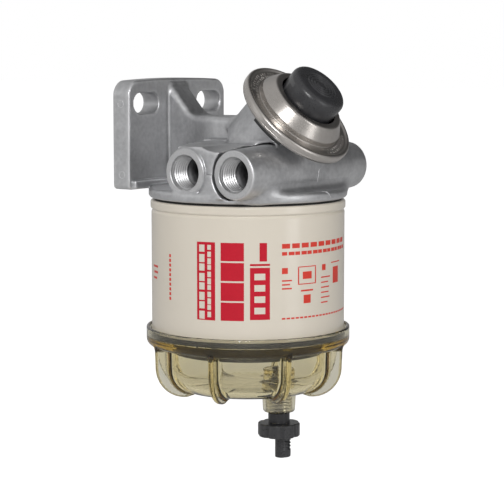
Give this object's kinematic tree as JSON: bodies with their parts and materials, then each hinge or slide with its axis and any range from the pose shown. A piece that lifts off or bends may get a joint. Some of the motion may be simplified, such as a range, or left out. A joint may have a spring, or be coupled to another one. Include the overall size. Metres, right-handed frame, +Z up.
{
  "type": "fuel water separator",
  "caption": "Die-cast head with wall bracket, pipe ports and primer pump, carrying a spin-on fuel element, a clear water bowl and a drain valve.",
  "frame": {"origin": "midway between the two bracket slots, on the bracket's back face", "axes": "+Y out of the bracket's back, into the wall that carries it, +Z up, pipe ports along X"},
  "size_m": [0.1142, 0.1219, 0.221],
  "materials": {
    "die_cast": "die-cast, satin",
    "plated_steel": "zinc plated",
    "stamped_steel": "stamped, satin",
    "spring_steel": "bright wire",
    "ring_alloy": "machined",
    "can_paint": "cream enamel with red print",
    "black_plastic": "moulded, satin",
    "white_plastic": "moulded",
    "clear_plastic": "clear, polished, faint amber",
    "rubber": "matt",
    "media_paper": "pleated"
  },
  "bodies": {
    "head": {"head_casting": "die_cast", "element_nipple": "plated_steel", "port_plugs": "plated_steel", "pump_cover": "stamped_steel", "pump_diaphragm": "rubber", "pump_spring": "spring_steel", "intake_valve_seat": "white_plastic", "intake_valve": "rubber", "outlet_valve_seat": "white_plastic", "outlet_valve": "rubber"},
    "pump_plunger": {"pump_button": "black_plastic", "plunger_stem": "plated_steel", "upper_disc": "plated_steel", "lower_disc": "plated_steel"},
    "element_seal": {"top_gasket": "rubber"},
    "element": {"can_shell": "can_paint", "top_plate": "plated_steel", "filter_media": "media_paper", "upper_end_cap": "plated_steel", "lower_end_cap": "white_plastic", "centre_tube": "plated_steel", "nipple_seal": "rubber", "bottom_ring": "ring_alloy"},
    "bowl_seal": {"bowl_gasket": "rubber"},
    "bowl": {"bowl_rim": "clear_plastic", "bowl": "clear_plastic", "bowl_boss": "clear_plastic", "bowl_fins": "clear_plastic"},
    "drain_seal": {"drain_o_ring": "rubber"},
    "drain_valve": {"drain_valve": "black_plastic"}
  },
  "joints": [
    {"name": "primer_push", "type": "slide", "parent": "head", "child": "pump_plunger", "axis": [0, 0.7071, -0.7071], "range_m": [0, 0.008], "stiffness_N_per_m": 600, "springref_m": -0.01, "deforming": ["pump_diaphragm", "pump_spring"]},
    {"name": "element_travel", "type": "slide", "parent": "head", "child": "element_seal", "axis": [0, 0, -1], "range_m": [0, 0.01545]},
    {"name": "element_turn", "type": "hinge", "parent": "element_seal", "child": "element", "pos_m": [0, -0.062, -0.09], "axis": [0, 0, -1], "range_deg": [0, 3060]},
    {"name": "bowl_travel", "type": "slide", "parent": "element", "child": "bowl_seal", "axis": [0, 0, -1], "range_m": [0, 0.0112]},
    {"name": "bowl_turn", "type": "hinge", "parent": "bowl_seal", "child": "bowl", "pos_m": [0, -0.062, -0.135], "axis": [0, 0, -1], "range_deg": [0, 1332]},
    {"name": "drain_travel", "type": "slide", "parent": "bowl", "child": "drain_seal", "axis": [0, 0, -1], "range_m": [0, 0.0046]},
    {"name": "drain_turn", "type": "hinge", "parent": "drain_seal", "child": "drain_valve", "pos_m": [0.01051, -0.07599, -0.18], "axis": [0, 0, -1], "range_deg": [0, 1080]}
  ],
  "couplings": [
    {"joint": "element_travel", "follows": "element_turn", "m_per_rad": 0.00028875},
    {"joint": "bowl_travel", "follows": "bowl_turn", "m_per_rad": 0.00047746},
    {"joint": "drain_travel", "follows": "drain_turn", "m_per_rad": 0.00023873}
  ]
}
